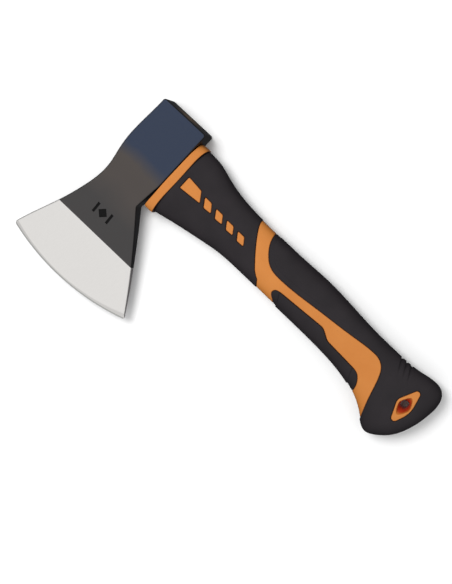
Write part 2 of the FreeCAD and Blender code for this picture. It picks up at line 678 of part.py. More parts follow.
def slot_solid(sheet, centre_y, length, width, start_x, end_x):
    """Obround bar along X."""
    radius = width / 2
    straight = length - width
    box = Part.makeBox(end_x - start_x, straight, width, Vector(start_x, centre_y - straight / 2, -radius))
    axis = Vector(1, 0, 0)
    for y in (centre_y - straight / 2, centre_y + straight / 2):
        box = box.fuse(Part.makeCylinder(radius, end_x - start_x, Vector(start_x, y, 0), axis))
    return box.removeSplitter()


def make_handle_shapes(sheet, core_shape):
    """The three rubber overmouldings and the plastic jacket that carries them."""
    outer = handle_solid(sheet, 0.0)
    rubber = outer.cut(handle_solid(sheet, sheet.rubber_thickness))
    sleeve = rubber.common(sleeve_region()).cut(window_prisms())
    rear = rubber.common(rear_region()).cut(rounded_prism(RIM_CORNERS, RIM_ROUNDINGS))
    front = rubber.common(front_region())

    bare = handle_solid(sheet, sheet.jacket_recess)
    behind_collar = Part.makeBox(
        2 * SIDE_REACH + sheet.handle_end_x, 4 * SIDE_REACH, 2 * REACH,
        Vector(COLLAR_SPLIT_X, -2 * SIDE_REACH, -REACH))
    tenon = slot_solid(
        sheet, sheet.eye_centre_y, sheet.eye_length - 2 * sheet.bond_gap,
        sheet.eye_width - 2 * sheet.bond_gap, sheet.tenon_top_x, COLLAR_SPLIT_X + TENON_OVERLAP)
    jacket = bare.common(behind_collar).cut(sleeve).cut(rear).cut(front)
    jacket = jacket.fuse(collar_solid(sheet).cut(sleeve)).fuse(tenon)
    jacket = jacket.cut(core_shape).cut(lanyard_hole(sheet))
    return {
        "handle_jacket": jacket,
        "upper_sleeve": sleeve,
        "rear_grip": rear.cut(thumb_grooves(sheet)),
        "front_grip": front,
    }


def add_solid(doc, name, shape):
    solids = shape.Solids
    feature = doc.addObject("Part::Feature", name)
    feature.Shape = max(solids, key=lambda solid: solid.Volume)
    print(name, "solids", len(solids), "volumes", [round(solid.Volume, 2) for solid in solids])
    return feature


def check_and_write(doc, sub_parts):
    doc.recompute()
    for item in doc.Objects:
        if "Invalid" in item.State or "Error" in item.State:
            raise RuntimeError(f"{item.Label} failed: {item.State}")
    os.makedirs("parts", exist_ok=True)
    for item in sub_parts:
        shape = item.Shape
        if shape.isNull() or not shape.isValid():
            raise RuntimeError(f"{item.Label} has no valid shape")
        print(item.Label, "cm3", round(shape.Volume / 1000, 2), shape.BoundBox)
        shape.exportStep(f"parts/{item.Label}.step")


def main():
    doc = FreeCAD.newDocument("camping_axe")
    sheet = make_sheet(doc)
    head = make_head(doc, sheet)
    core = make_core(doc)
    resin = make_resin(doc)
    seal = make_seal(doc)
    doc.recompute()
    handle = [
        add_solid(doc, name, shape) for name, shape in make_handle_shapes(sheet, core.Shape).items()
    ]
    sub_parts = [head, core, resin, seal] + handle
    place = Placement(Vector(-PART_MIDDLE_X, -PART_MIDDLE_Y, sheet.head_thickness / 2), Rotation())
    for item in sub_parts:
        item.Label = item.Name
        item.Placement = place
    check_and_write(doc, sub_parts)


main()
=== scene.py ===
import math

import bmesh
import bpy
import numpy as np
from mathutils import Matrix, Vector


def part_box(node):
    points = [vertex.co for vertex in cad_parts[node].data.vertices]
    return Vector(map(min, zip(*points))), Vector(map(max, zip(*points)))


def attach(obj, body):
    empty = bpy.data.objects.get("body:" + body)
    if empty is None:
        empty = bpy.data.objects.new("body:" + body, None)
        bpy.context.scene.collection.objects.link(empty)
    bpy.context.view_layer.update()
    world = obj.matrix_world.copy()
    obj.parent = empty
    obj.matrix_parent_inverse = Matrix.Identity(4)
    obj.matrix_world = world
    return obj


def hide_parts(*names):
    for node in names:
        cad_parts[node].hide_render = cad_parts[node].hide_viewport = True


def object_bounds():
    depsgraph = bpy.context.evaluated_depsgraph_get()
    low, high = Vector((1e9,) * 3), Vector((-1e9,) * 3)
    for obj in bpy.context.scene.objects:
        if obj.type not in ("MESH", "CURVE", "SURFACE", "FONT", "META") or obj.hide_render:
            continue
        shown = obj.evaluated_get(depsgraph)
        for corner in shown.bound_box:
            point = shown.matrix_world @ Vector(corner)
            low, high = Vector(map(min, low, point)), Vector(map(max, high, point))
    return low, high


# Looks of the camping axe. The forged head, the fibreglass core, the epoxy and the seal ring are the CAD
# nodes with finished materials. The plastic jacket and the three rubber overmouldings are rebuilt as
# smooth, closed meshes with rolled lips, fine grooves along every colour border and the grip's relief.
#
# The handle is drawn in the part's local millimetres: X along the handle from the head's top side,
# Y towards the hammer face, Z through the thickness with 0 on the mid-plane.

MM = 0.001

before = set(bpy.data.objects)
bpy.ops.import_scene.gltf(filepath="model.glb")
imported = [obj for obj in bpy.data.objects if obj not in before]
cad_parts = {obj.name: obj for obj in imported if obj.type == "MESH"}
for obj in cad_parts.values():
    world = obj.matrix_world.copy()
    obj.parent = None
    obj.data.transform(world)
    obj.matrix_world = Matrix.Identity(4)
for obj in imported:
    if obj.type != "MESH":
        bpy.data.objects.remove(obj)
cad_low, cad_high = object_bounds()

# ---------------------------------------------------------------- where the local frame lies

TENON_TOP_X = 6.0       # local X where the jacket's tenon starts
EYE_CENTRE_Y = 4.5      # local Y of the middle of the eye and of its seal ring

jacket_low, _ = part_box("handle_jacket")
seal_low, seal_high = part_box("eye_seal")
seal_middle = (seal_low + seal_high) / 2
LOCAL_ORIGIN = np.array([
    jacket_low.x - TENON_TOP_X * MM,
    seal_middle.y - EYE_CENTRE_Y * MM,
    seal_middle.z,
])

# ---------------------------------------------------------------- outlines, local millimetres

BACK_EDGE = [
    (36.0, 30.2), (50.0, 30.2), (60.0, 29.3), (68.0, 27.0), (80.0, 23.9), (95.0, 22.0),
    (120.0, 21.2), (145.0, 21.2), (162.0, 21.6), (185.0, 20.4), (209.0, 18.6), (228.0, 18.3),
    (247.0, 19.4), (259.0, 21.1), (265.0, 19.7), (268.8, 15.2), (270.3, 7.5),
]
FRONT_EDGE = [
    (36.0, -26.4), (52.0, -23.0), (66.0, -20.0), (80.0, -17.4), (98.0, -14.6), (114.0, -14.1),
    (150.0, -14.4), (180.0, -14.7), (200.0, -15.8), (215.0, -18.2), (225.0, -21.3),
    (237.5, -28.5), (243.5, -33.0), (248.0, -34.2), (253.7, -31.6), (261.8, -23.8),
    (266.8, -13.5), (269.3, -3.5), (270.3, 7.5),
]
HALF_THICKNESS = [
    (36.0, 10.9), (60.0, 10.6), (85.0, 10.1), (110.0, 10.1), (140.0, 10.7), (165.0, 11.0),
    (195.0, 10.7), (220.0, 10.6), (238.0, 11.0), (248.0, 11.1), (256.0, 10.8), (263.0, 9.2),
    (268.0, 5.9), (270.3, 1.2),
]
SECTION_POWER = 2.4

COLLAR_HEAD_SIDE = [(41.8, 34.0), (41.4, 27.0), (40.9, 12.0), (40.4, -4.0), (40.2, -16.0), (39.2, -28.0)]
COLLAR_BUTT_SIDE = [(48.9, 34.0), (47.6, 28.0), (47.0, 16.0), (46.8, 0.0), (46.3, -12.0), (46.8, -28.0)]
SLEEVE_END = [(103.6, 27.0), (105.4, 19.5), (108.4, 14.3), (116.0, 3.9), (123.6, -5.4)]
SLEEVE_END_STEP = [(126.6, -7.9), (128.6, -9.0), (133.4, -18.0)]
REAR_GRIP_EDGE = [
    (116.8, 27.0), (118.3, 18.1), (120.7, 12.9), (124.0, 8.6), (128.3, 4.8), (133.1, 2.8),
    (139.7, 2.2), (171.0, 4.7), (199.5, 7.7), (215.0, 9.3), (222.3, 8.4), (226.5, 5.4),
    (229.3, 0.5), (233.7, -13.2), (238.4, -27.0), (242.5, -39.0),
]
FRONT_PAD_NOSE = [(148.6, -19.0), (145.4, -12.4), (141.7, -8.0), (142.5, -5.8), (145.6, -4.5), (152.0, -3.9)]
FRONT_PAD_STEP_TOP = (181.9, -1.8)
FRONT_PAD_STEP_FOOT = (189.6, -6.5)
FRONT_PAD_TAIL = [(213.5, -7.6), (217.5, -8.6), (220.4, -11.3), (222.3, -14.8), (223.0, -28.0)]
STEP_ROUNDING = 7.0
REAR_REACH_Y = (-70.0, 60.0)    # the rear grip's outline closes well outside the handle
REAR_REACH_PAST_BUTT = 60.0

WINDOWS = [
    [(50.7, 10.5), (63.1, 9.3), (68.0, 2.0), (50.5, 0.6)],
    [(66.9, 8.2), (73.7, 7.9), (78.0, 2.0), (71.2, 1.5)],
    [(77.5, 7.5), (84.2, 7.3), (88.1, 1.7), (81.6, 1.3)],
    [(87.7, 6.9), (94.5, 6.7), (98.2, 1.2), (91.8, 1.0)],
    [(97.9, 6.5), (104.4, 6.4), (108.3, 0.8), (102.0, 0.6)],
]
WINDOW_ROUNDING = 0.7

# The lanyard hole: its orange rim's corners, then a lozenge-shaped mouth that narrows to a round-cornered
# square throat.
RIM_CORNERS = [(254.9, 15.4), (247.2, -2.2), (255.1, -19.2), (260.4, -3.5)]
RIM_ROUNDINGS = (2.3, 5.6, 2.5, 19.0)
RIM_ARC_POINTS = 16
THROAT_CENTRE = np.array([253.9, -2.6])
THROAT_HALF_SIZE = np.array([2.7, 2.75])
THROAT_POWER = 3.0
MOUTH_HALF_SIZE = np.array([4.4, 7.5])
MOUTH_POWER = 1.35
MOUTH_POINTS = 96
FUNNEL = [      # share of the way from the mouth to the throat, and depth below the skin
    (0.012, 0.04), (0.04, 0.2), (0.09, 0.5), (0.2, 1.2), (0.4, 2.3), (0.6, 3.4), (0.8, 4.6), (0.95, 5.8),
    (1.0, 7.2),
]

GROOVE_STARTS_X = (230.2, 234.4, 238.4)
GROOVE_START_Y = 22.5
GROOVE_FULL_Y = 19.5        # the grooves have their full depth from here towards the back edge
GROOVE_RUN = np.array([8.2, -15.5])

COLLAR_BACK_Y = 30.8
COLLAR_FRONT_Y = -25.6
COLLAR_HALF_THICKNESS = 11.15
COLLAR_POWER = 3.6
COLLAR_CROWN = 0.1          # how far the crown's curve would fall from the band's middle to its edges
COLLAR_CROWN_SHARES = np.linspace(0.18, 0.82, 7)
COLLAR_POINTS = 220
COLLAR_EDGE = [         # share of the band's width, and drop below its outer face
    (0.0, 4.0), (0.0, 0.62), (0.01, 0.4), (0.035, 0.2), (0.075, 0.09), (0.12, 0.06),
]
COLLAR_SHADE_DROP = (0.12, 0.4)   # how far below the band its rolled edges take the painted shade

TENON_ROOT_X = 44.5         # inside the collar
TENON_HALF_HEIGHT = 14.4
TENON_HALF_THICKNESS = 6.7
TENON_PROFILE = [       # local X, and share of the full section
    (TENON_TOP_X, 0.05), (TENON_TOP_X, 0.8), (TENON_TOP_X + 0.4, 0.94), (TENON_TOP_X + 1.2, 1.0),
    (TENON_ROOT_X, 1.0), (TENON_ROOT_X, 0.05),
]
TENON_POINTS = 96

# The head's lines and faces that its finish and its painted reflections follow. A blend is half the width of
# a change of tone.
HOLLOW_LINE = (-34, 10)     # local Y where the blade's painted grey sheen gives way to the hollow's warm painted reflection, and the blend
CHEEK_LINE = (-4, 6)        # the same from the hollow's painted reflection to the cheek's cool blue one
TONE_DRIFT = 4              # how far those two lines wander
GRIND_LINE_Y = -63.4
GRIND_BLEND = 0.08
GRIND_HALF_THICKNESS = 3.3  # the blade's at the grind line; it thickens from there to the neck
NECK_Y = -32.0
NECK_HALF_THICKNESS = 6.3
EDGE_CENTRE = (22.5, 68.4)
EDGE_RADIUS = 172.0
HONED_WIDTH = 1.1
HONED_BLEND = 0.1
FLAT_FACING = (0.75, 0.97)  # share of Z in a face's normal between which it counts as flat on a cheek and takes the painted reflections
HAMMER_FACING = (0.9, 0.05)     # share of Y in a normal above which it is the hammer face's, and the blend
BROWN_PATCH_CENTRE_X = 23.0        # the brown patch in the middle of the hammer face
BROWN_PATCH_REACH = (2.0, 11.5)    # distances from its middle between which it fades
BROWN_PATCH_RAGGED = 2.0           # how far its rim wanders
MARK_CENTRE = (21.5, -48.8)
MARK_REACH = 9.0            # the mark lies within this distance of its centre, along X and along Y
MARK_SHADE_DEPTH = 0.12     # steel this far below the blade's surface counts as the mark's recess

# Relief. Heights are measured from the handle's outer skin, along its normal.
PLASTIC_LEVEL = -0.4        # bare plastic between the rubbers
RUBBER_DEPTH = 1.8
LIP_RADIUS = 0.7
LIP_LEVELS = (0.05, 0.2, 0.42, LIP_RADIUS)
BORDER_PROFILE = [(-0.62, PLASTIC_LEVEL), (-0.42, -0.5), (-0.2, -0.78), (0.0, -0.8), (0.05, -1.85)]
CREASE_SHADE_EDGE = (-0.5, -0.25)   # where the plastic beside a rubber turns to the groove's dark line of painted shade
THROAT_SHADE_DEPTHS = (0.3, 3.0)  # depths in the funnel between which its walls turn to a painted deep red shade, for the bounce light in the hole
GROOVE_LEVELS = (0.2, 0.5, 0.8, 1.15)
GROOVE_FLOOR = 0.1          # half width of a groove's deepest line
GROOVE_DEPTH = 0.95
REAR_PAD_MARGIN = (3.3, 4.3)    # distances from the rear rubber's border between which its pad rises
REAR_PAD_CUTS = 4
REAR_PAD_FADES_X = (165.0, 200.0)
REAR_PAD_RISE = 0.3
FRONT_PAD_RISE = 0.7        # from the pad's nose and tail, half of it below the skin, to its middle
FRONT_PAD_NOSE_LINE = np.array([(143.2, -1.0), (148.0, -10.0), (150.5, -24.0)])
FRONT_PAD_TAIL_LINE = np.array([(211.5, -2.0), (214.5, -10.5), (220.5, -24.0)])
FRONT_BEVEL_LEVELS = (0.0, 0.25, 0.6, 0.9)

GRIP_START_X = 44.0         # inside the collar
BUTT_TURN_X = 258.0         # where the butt begins to close
BUTT_RINGS = 26
GRID_STEP = 0.9
RING_POINTS = 116
SECTION_SAMPLES = 400
SNAP = 1e-4                 # a point nearer to a cutting line than this is on it
MERGE_DISTANCE = 2e-6       # metres; points closer than this are one


# ---------------------------------------------------------------- plan curves and distances

def smooth_curve(corners, step=0.35):
    """Points about step apart along the natural cubic spline through the corners."""
    corners = np.array(corners, float)
    knots = np.concatenate(([0.0], np.cumsum(np.linalg.norm(np.diff(corners, axis=0), axis=1))))
    gaps = np.diff(knots)
    count = len(knots)
    matrix = np.eye(count)
    right = np.zeros((count, 2))
    slopes = np.diff(corners, axis=0) / gaps[:, None]
    for i in range(1, count - 1):
        matrix[i, i - 1:i + 2] = gaps[i - 1], 2 * (gaps[i - 1] + gaps[i]), gaps[i]
        right[i] = 6 * (slopes[i] - slopes[i - 1])
    bends = np.linalg.solve(matrix, right)
    along = np.linspace(0.0, knots[-1], int(knots[-1] / step) + 2)
    span = np.clip(np.searchsorted(knots, along, side="right") - 1, 0, count - 2)
    gap = gaps[span][:, None]
    before = (knots[span + 1] - along)[:, None]
    after = (along - knots[span])[:, None]
    return (
        (bends[span] * before ** 3 + bends[span + 1] * after ** 3) / (6 * gap)
        + (corners[span] / gap - bends[span] * gap / 6) * before
        + (corners[span + 1] / gap - bends[span + 1] * gap / 6) * after
    )


def rounded_corner(before, corner, after, radius, count=6):
    """Points of the arc that rounds a corner."""
    before, corner, after = (np.array(p, float) for p in (before, corner, after))
    first = (before - corner) / np.linalg.norm(before - corner)
    second = (after - corner) / np.linalg.norm(after - corner)
    half_angle = math.acos(np.clip(first @ second, -1, 1)) / 2
    inward = (first + second) / np.linalg.norm(first + second)
    across = (second - first) / np.linalg.norm(second - first)
    turn = np.linspace(half_angle - math.pi / 2, math.pi / 2 - half_angle, count)[:, None]
    centre = corner + inward * radius / math.sin(half_angle)
    return centre + radius * (across * np.sin(turn) - inward * np.cos(turn))


def rounded_outline(corners, radii, count=6):
    """Closed outline whose corners are rounded by arcs."""
    around = zip(corners[-1:] + corners[:-1], corners, corners[1:] + corners[:1], radii)
    return np.concatenate([rounded_corner(*corner, count) for corner in around])


def chain_distance(points, chain, block=4000):
    """Distance in plan from each point to an open chain of points, worked out a block at a time."""
    start = chain[:-1]
    run = chain[1:] - start
    length_squared = np.maximum((run ** 2).sum(1), 1e-12)
    nearest = []
    for first in range(0, len(points), block):
        gap = points[first:first + block, None, :] - start
        share = np.clip((gap * run).sum(2) / length_squared, 0, 1)
        gap -= share[..., None] * run
        nearest.append(np.sqrt((gap ** 2).sum(2)).min(1))
    return np.concatenate(nearest)


def is_inside(points, outline):
    """Whether each point lies inside a closed outline, by how often the outline crosses its row."""
    inside = np.zeros(len(points), bool)
    for (ax, ay), (bx, by) in zip(outline, np.roll(outline, -1, axis=0)):
        if ay == by:
            continue
        crosses = (ay > points[:, 1]) != (by > points[:, 1])
        inside ^= crosses & (points[:, 0] < ax + (points[:, 1] - ay) / (by - ay) * (bx - ax))
    return inside


def signed_distance(points, outline):
    """Distance in plan to a closed outline, positive inside it."""
    distance = chain_distance(points, np.concatenate([outline, outline[:1]]))
    return np.where(is_inside(points, outline), distance, -distance)


# ---------------------------------------------------------------- the colour areas in plan

def sleeve_outline():
    return np.concatenate([
        smooth_curve(COLLAR_BUTT_SIDE), SLEEVE_END_STEP[::-1], smooth_curve(SLEEVE_END)[::-1],
    ])


def rear_outline():
    end_x = BACK_EDGE[-1][0] + REAR_REACH_PAST_BUTT
    low_y, high_y = REAR_REACH_Y
    return np.concatenate([
        smooth_curve(REAR_GRIP_EDGE),
        [(REAR_GRIP_EDGE[-1][0], low_y), (end_x, low_y), (end_x, high_y), (REAR_GRIP_EDGE[0][0], high_y)],
    ])


def front_outline():
    nose = smooth_curve(FRONT_PAD_NOSE)
    tail = smooth_curve(FRONT_PAD_TAIL)
    top = rounded_corner(nose[-1], FRONT_PAD_STEP_TOP, FRONT_PAD_STEP_FOOT, STEP_ROUNDING)
    foot = rounded_corner(FRONT_PAD_STEP_TOP, FRONT_PAD_STEP_FOOT, tail[0], STEP_ROUNDING)
    return np.concatenate([nose, top, foot, tail, [(FRONT_PAD_NOSE[0][0], FRONT_PAD_TAIL[-1][1])]])


def sleeve_area(plan):
    area = signed_distance(plan, sleeve_outline())
    for corners in WINDOWS:
        area = np.minimum(area, -signed_distance(plan, rounded_outline(corners, [WINDOW_ROUNDING] * 4)))
    return area


def rear_area(plan):
    rim = rounded_outline(RIM_CORNERS, RIM_ROUNDINGS, RIM_ARC_POINTS)
    return np.minimum(signed_distance(plan, rear_outline()), -signed_distance(plan, rim))


def front_area(plan):
    return signed_distance(plan, front_outline())


def mouth_outline():
    """Lozenge with softly bowed sides round the lanyard hole's centre."""
    angle = np.linspace(0, 2 * math.pi, MOUTH_POINTS, endpoint=False)
    circle = np.stack([np.cos(angle), np.sin(angle)], axis=1)
    return THROAT_CENTRE + MOUTH_HALF_SIZE * np.sign(circle) * abs(circle) ** (2 / MOUTH_POWER)


def narrowed(plan, share):
    """Points of the mouth's outline moved a share of the way to the throat's outline."""
    offset = plan - THROAT_CENTRE
    stretch = abs(offset / MOUTH_HALF_SIZE) ** (MOUTH_POWER / THROAT_POWER)
    throat = THROAT_HALF_SIZE * np.sign(offset) * stretch
    return THROAT_CENTRE + offset * (1 - share) + throat * share


def groove_distance(plan):
    """Distance in plan to the nearest thumb groove's middle line."""
    starts = [np.array([x, GROOVE_START_Y]) for x in GROOVE_STARTS_X]
    return np.min([chain_distance(plan, np.array([start, start + GROOVE_RUN])) for start in starts], axis=0)


# ---------------------------------------------------------------- triangle skins that can be cut along a line

class Skin:
    """Triangles with per-point data: points and outward normals, and any fields set on them."""

    def __init__(self, faces, **data):
        self.faces = faces
        self.data = data

    @property
    def plan(self):
        return self.data["points"][:, :2]

    def copy(self):
        return Skin(self.faces.copy(), **{name: values.copy() for name, values in self.data.items()})

    def cut(self, field, level=0.0):
        """Splits the triangles where the field crosses the level, so that none straddles it."""
        values = self.data[field] - level
        values = np.where(abs(values) < SNAP, 0.0, values)
        signs = np.sign(values)[self.faces]
        straddling = (signs.min(1) < 0) & (signs.max(1) > 0)
        if not straddling.any():
            return self
        cut = self.faces[straddling]
        sides = np.stack([cut, np.roll(cut, -1, axis=1)], axis=2)
        crossed = values[sides[..., 0]] * values[sides[..., 1]] < 0
        ends, which = np.unique(np.sort(sides[crossed], axis=1), axis=0, return_inverse=True)
        middle = np.full(crossed.shape, -1)
        middle[crossed] = len(values) + which.reshape(-1)
        share = values[ends[:, 0]] / (values[ends[:, 0]] - values[ends[:, 1]])
        for name, old in self.data.items():
            weight = share if old.ndim == 1 else share[:, None]
            new = old[ends[:, 0]] * (1 - weight) + old[ends[:, 1]] * weight
            self.data[name] = np.concatenate([old, new])
        self.data[field][len(values):] = level
        self.faces = np.concatenate([self.faces[~straddling], *split_faces(cut, crossed, middle)])
        return self

    def keep(self, field):
        """Keeps the faces on the field's positive side, and the points they use."""
        positive = self.data[field][self.faces].sum(1) > 0
        used, faces = np.unique(self.faces[positive], return_inverse=True)
        self.faces = faces.reshape(-1, 3)
        self.data = {name: values[used] for name, values in self.data.items()}
        return self

    def border(self):
        """Edges with a face on one side only, each running the way its face does."""
        edges = np.concatenate([self.faces[:, [0, 1]], self.faces[:, [1, 2]], self.faces[:, [2, 0]]])
        known = {tuple(edge) for edge in edges}
        return np.array([edge for edge in edges if (edge[1], edge[0]) not in known])

    def raised(self, heights):
        return self.data["points"] + self.data["normals"] * np.asarray(heights).reshape(-1, 1)


def split_faces(cut, crossed, middle):
    """New faces for triangles crossed on two sides, then for those crossed on one side."""
    pieces = []
    for corner in range(3):
        turn = [corner, (corner + 1) % 3, (corner + 2) % 3]
        alone = crossed[:, turn[0]] & crossed[:, turn[2]]
        a, b, c = cut[alone][:, turn].T
        near, far = middle[alone, turn[0]], middle[alone, turn[2]]
        pieces += [np.stack(f, axis=1) for f in ((a, near, far), (near, b, c), (near, c, far))]
        through = crossed[:, turn[1]] & ~crossed[:, turn[0]] & ~crossed[:, turn[2]]
        a, b, c = cut[through][:, turn].T
        opposite = middle[through, turn[1]]
        pieces += [np.stack(f, axis=1) for f in ((a, b, opposite), (a, opposite, c))]
    return pieces


# ---------------------------------------------------------------- the handle's outer skin

def height_over_x(corners, stations):
    """Height of the smooth curve through the corners at each station along X."""
    curve = smooth_curve(corners, step=0.05)
    return np.interp(stations, np.maximum.accumulate(curve[:, 0]), curve[:, 1])


def even_superellipse(half_y, half_z, power, count):
    """Points evenly spaced round a superellipse, the first at +Y on the mid-plane."""
    angle = np.linspace(0, math.pi, SECTION_SAMPLES)
    y = half_y * np.sign(np.cos(angle)) * abs(np.cos(angle)) ** (2 / power)
    z = half_z * abs(np.sin(angle)) ** (2 / power)
    along = np.concatenate(([0.0], np.cumsum(np.hypot(np.diff(y), np.diff(z)))))
    even = np.linspace(0, along[-1], count // 2 + 1)
    upper = np.stack([np.interp(even, along, y), np.interp(even, along, z)], axis=1)
    lower = upper[-2:0:-1] * (1, -1)
    return np.concatenate([upper, lower])


def handle_stations():
    """Even steps down the grip, then closer ones where the butt turns in."""
    count = int((BUTT_TURN_X - GRIP_START_X) / GRID_STEP)
    straight = np.linspace(GRIP_START_X, BUTT_TURN_X, count, endpoint=False)
    reach = BACK_EDGE[-1][0] - BUTT_TURN_X
    closing = BUTT_TURN_X + reach * np.sin(np.linspace(0, math.pi / 2, BUTT_RINGS))
    return np.concatenate([straight, closing[:-1]])


def tube_faces(rows, columns):
    """Triangles of a tube of rings, whose diagonals are mirrored across the mid-plane, and of its two caps.

    The caps meet in two more points that follow the rings' points.
    """
    index = np.arange(rows * columns).reshape(rows, columns)
    near, far = index[:-1], index[1:]
    near_next, far_next = np.roll(near, -1, axis=1), np.roll(far, -1, axis=1)
    upper = np.broadcast_to(np.arange(columns) < columns // 2, near.shape)
    return np.concatenate([
        np.stack([near, near_next, far_next], 2)[upper], np.stack([near, far_next, far], 2)[upper],
        np.stack([near, near_next, far], 2)[~upper], np.stack([near_next, far_next, far], 2)[~upper],
        np.stack([np.full(columns, rows * columns), np.roll(index[0], -1), index[0]], 1),
        np.stack([np.full(columns, rows * columns + 1), index[-1], np.roll(index[-1], -1)], 1),
    ])


def handle_skin():
    """The whole grip as one closed skin of even triangles, mirrored across the mid-plane."""
    stations = handle_stations()
    back = height_over_x(BACK_EDGE, stations)
    front = height_over_x(FRONT_EDGE, stations)
    half = height_over_x(HALF_THICKNESS, stations)
    rings = []
    for x, top, bottom, thick in zip(stations, back, front, half):
        ring = even_superellipse((top - bottom) / 2, thick, SECTION_POWER, RING_POINTS)
        rings.append(np.column_stack([np.full(RING_POINTS, x), ring[:, 0] + (top + bottom) / 2, ring[:, 1]]))
    grid = np.array(rings)
    along = np.gradient(grid, axis=0)
    around = (np.roll(grid, -1, axis=1) - np.roll(grid, 1, axis=1)) / 2
    normals = np.cross(around, along)
    normals /= np.linalg.norm(normals, axis=2, keepdims=True)
    tips = np.array([
        [stations[0], (back[0] + front[0]) / 2, 0.0], [BACK_EDGE[-1][0], BACK_EDGE[-1][1], 0.0]])
    return Skin(
        tube_faces(*grid.shape[:2]),
        points=np.concatenate([grid.reshape(-1, 3), tips]),
        normals=np.concatenate([normals.reshape(-1, 3), [[-1.0, 0, 0], [1.0, 0, 0]]]))


# ---------------------------------------------------------------- pieces

def add_piece(name, points, faces, material, slot, nodes, **shades):
    """Blender object from local millimetres, riding on the root body in place of CAD nodes.

    A shade is a number from 0 to 1 on each point, the share of a painted shade that it takes: the groove
    shade is 1 in the fine groove beside a rubber and at the collar's rolled edges, and the throat shade is 1
    deep in the lanyard hole.
    """
    mesh = bpy.data.meshes.new(name)
    mesh.from_pydata((LOCAL_ORIGIN + np.asarray(points) * MM).tolist(), [], np.asarray(faces).tolist())
    for shade, values in shades.items():
        mesh.attributes.new(shade, "FLOAT", "POINT").data.foreach_set("value", values.astype(np.float32))
    tidy = bmesh.new()
    tidy.from_mesh(mesh)
    bmesh.ops.remove_doubles(tidy, verts=tidy.verts, dist=MERGE_DISTANCE)
    bmesh.ops.recalc_face_normals(tidy, faces=tidy.faces)
    tidy.to_mesh(mesh)
    tidy.free()
    mesh.shade_smooth()
    mesh.materials.append(material)
    piece = bpy.data.objects.new(name, mesh)
    bpy.context.scene.collection.objects.link(piece)
    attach(piece, "root")
    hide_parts(*nodes)


def walls(edges, below):
    """Faces from each directed edge down to its copy, whose indices are below higher."""
    a, b = edges.T
    return np.concatenate([
        np.stack([b, a, a + below], 1), np.stack([b, a + below, b + below], 1)])


def mirrored(points, faces):
    """Both halves of a piece that is drawn above the mid-plane."""
    return (
        np.concatenate([points, points * (1, 1, -1)]),
        np.concatenate([faces, faces[:, ::-1] + len(points)]),
    )


def rubber_solid(skin, heights):
    """Closed overmoulding: the raised skin, its underside in the pocket, and the wall round its border."""
    count = len(skin.data["points"])
    points = np.concatenate([skin.raised(heights), skin.raised(np.full(count, -RUBBER_DEPTH))])
    faces = np.concatenate([
        skin.faces, skin.faces[:, ::-1] + count, walls(skin.border(), count)])
    return points, faces


def rubber_skin(base, area):
    """The part of the handle's skin inside one rubber area, cut along the steps of its rolled lip."""
    skin = base.copy()
    skin.data["edge"] = area(skin.plan)
    skin.cut("edge").keep("edge")
    for level in LIP_LEVELS:
        skin.cut("edge", level)
    return skin


def lip_height(distance):
    """Quarter round from the border up to the skin."""
    inward = np.clip(LIP_RADIUS - distance, 0, LIP_RADIUS)
    return np.sqrt(LIP_RADIUS ** 2 - inward ** 2) - LIP_RADIUS


def smooth_step(values, low, high):
    share = np.clip((values - low) / (high - low), 0, 1)
    return share * share * (3 - 2 * share)


def make_sleeve(base, material):
    """Upper rubber, open at its five windows."""
    skin = rubber_skin(base, sleeve_area)
    points, faces = rubber_solid(skin, lip_height(skin.data["edge"]))
    add_piece("sleeve_rubber", points, faces, material, "black_rubber", ["upper_sleeve"])


def make_rear_grip(base, material):
    """Rear rubber with a faint raised pad near its head end and three fading thumb grooves."""
    skin = rubber_skin(base, rear_area)
    for level in np.linspace(*REAR_PAD_MARGIN, REAR_PAD_CUTS):
        skin.cut("edge", level)
    skin.data["groove"] = groove_distance(skin.plan)
    for level in GROOVE_LEVELS:
        skin.cut("groove", level)
    edge, groove = skin.data["edge"], skin.data["groove"]
    x, y = skin.plan.T
    pad = smooth_step(edge, *REAR_PAD_MARGIN) - 1.0
    pad *= REAR_PAD_RISE * (1 - smooth_step(x, *REAR_PAD_FADES_X))
    hollow = 1 - smooth_step(groove, GROOVE_FLOOR, GROOVE_LEVELS[-1])
    fade = smooth_step(y, GROOVE_START_Y + GROOVE_RUN[1], GROOVE_FULL_Y)
    heights = lip_height(edge) + pad - GROOVE_DEPTH * hollow * fade
    points, faces = rubber_solid(skin, heights)
    add_piece("rear_grip_rubber", points, faces, material, "black_rubber", ["rear_grip"])


def make_front_grip(base, material):
    """Front finger pad: a low nose and tail, and a raised middle between two bevels."""
    skin = rubber_skin(base, front_area)
    for name, line, side in (("nose", FRONT_PAD_NOSE_LINE, 1.0), ("tail", FRONT_PAD_TAIL_LINE, -1.0)):
        beyond = np.interp(-skin.data["points"][:, 1], -line[:, 1], line[:, 0])
        skin.data[name] = side * (skin.data["points"][:, 0] - beyond)
        for level in FRONT_BEVEL_LEVELS:
            skin.cut(name, level)
    bevels = [smooth_step(skin.data[name], 0, FRONT_BEVEL_LEVELS[-1]) for name in ("nose", "tail")]
    rise = np.minimum(*bevels)
    heights = lip_height(skin.data["edge"]) + FRONT_PAD_RISE * (rise - 0.5)
    points, faces = rubber_solid(skin, heights)
    add_piece("front_grip_rubber", points, faces, material, "black_rubber", ["front_grip"])


def jacket_skin(base):
    """The jacket's skin above the mid-plane, cut along its borders' steps and at the lanyard hole's mouth."""
    skin = base.copy()
    skin.data["above"] = skin.data["points"][:, 2].copy()
    skin.keep("above")
    skin.data["rubber"] = np.max([area(skin.plan) for area in (sleeve_area, rear_area, front_area)], axis=0)
    for level, _ in BORDER_PROFILE:
        skin.cut("rubber", level)
    skin.data["outside"] = -signed_distance(skin.plan, mouth_outline())
    return skin.cut("outside").keep("outside")


